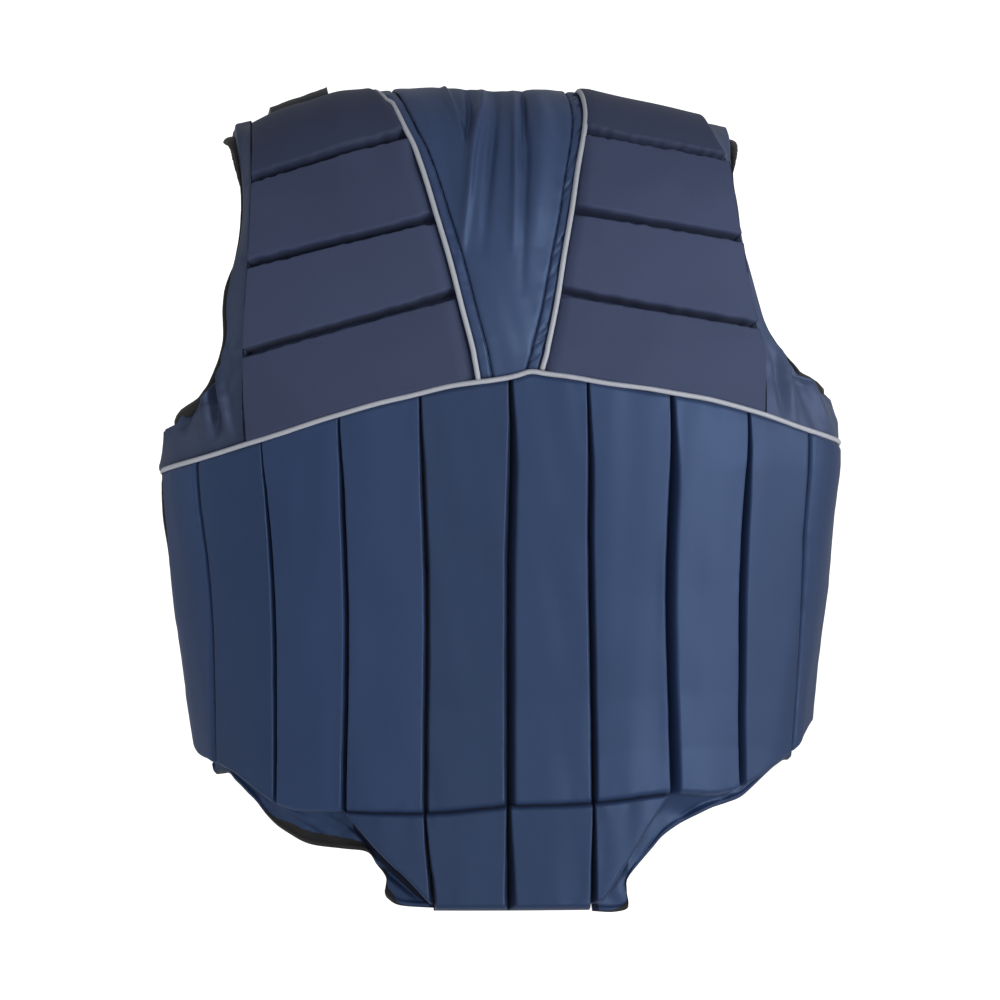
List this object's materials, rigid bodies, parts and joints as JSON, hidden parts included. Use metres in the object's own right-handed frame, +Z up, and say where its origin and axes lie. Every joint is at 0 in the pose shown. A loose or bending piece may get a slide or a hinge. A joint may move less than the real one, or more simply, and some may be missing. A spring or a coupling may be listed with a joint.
{
  "type": "equestrian body protector",
  "caption": "Sleeveless padded riding vest seen from behind: quilted yokes and V panel above a chevron seam, upright foam bars and a short tail below.",
  "frame": {"origin": "midway between the shoulders, at the height where the wearer's shoulders carry the vest", "axes": "+Z up along the wearer's back, +Y forward out of the wearer's chest, +X to the wearer's right; the back faces -Y"},
  "size_m": [0.4896, 0.2504, 0.5765],
  "materials": {
    "satin_bars": "navy satin weave over foam",
    "satin_edge": "navy satin, unpadded",
    "matte_yoke": "dark navy matte weave over foam",
    "bright_panel": "blue taffeta with a sheen",
    "shiny_gusset": "blue taffeta with a sheen",
    "grey_piping": "grey reflective piping",
    "black_binding": "black woven tape",
    "black_mesh": "black mesh",
    "hook_tab": "grey-black hook-and-loop",
    "zip_strip": "black zip"
  },
  "bodies": {
    "root": {"armhole_gusset_left": "shiny_gusset", "armhole_gusset_right": "shiny_gusset", "back_bar_1": "satin_bars", "back_bar_10": "satin_bars", "back_bar_2": "satin_bars", "back_bar_3": "satin_bars", "back_bar_4": "satin_bars", "back_bar_5": "satin_bars", "back_bar_6": "satin_bars", "back_bar_7": "satin_bars", "back_bar_8": "satin_bars", "back_bar_9": "satin_bars", "binding_left": "black_binding", "binding_right": "black_binding", "front_left_bar_1": "satin_bars", "front_left_bar_2": "satin_bars", "front_left_bar_3": "satin_bars", "front_left_bar_4": "satin_bars", "front_right_bar_1": "satin_bars", "front_right_bar_2": "satin_bars", "front_right_bar_3": "satin_bars", "front_right_bar_4": "satin_bars", "front_yoke_left": "matte_yoke", "front_yoke_right": "matte_yoke", "front_zip": "zip_strip", "hem_left": "satin_edge", "hem_right": "satin_edge", "neck_panel": "bright_panel", "piping_chevron": "grey_piping", "piping_neck_left": "grey_piping", "piping_neck_right": "grey_piping", "shoulder_tab_left": "hook_tab", "shoulder_tab_right": "hook_tab", "side_panel_left": "black_mesh", "side_panel_right": "black_mesh", "tail_bar_1": "satin_bars", "tail_bar_2": "satin_bars", "tail_bar_3": "satin_bars", "tail_bar_4": "satin_bars", "yoke_left_bar_1": "matte_yoke", "yoke_left_bar_2": "matte_yoke", "yoke_left_bar_3": "matte_yoke", "yoke_left_bar_4": "matte_yoke", "yoke_right_bar_1": "matte_yoke", "yoke_right_bar_2": "matte_yoke", "yoke_right_bar_3": "matte_yoke", "yoke_right_bar_4": "matte_yoke"}
  },
  "joints": []
}
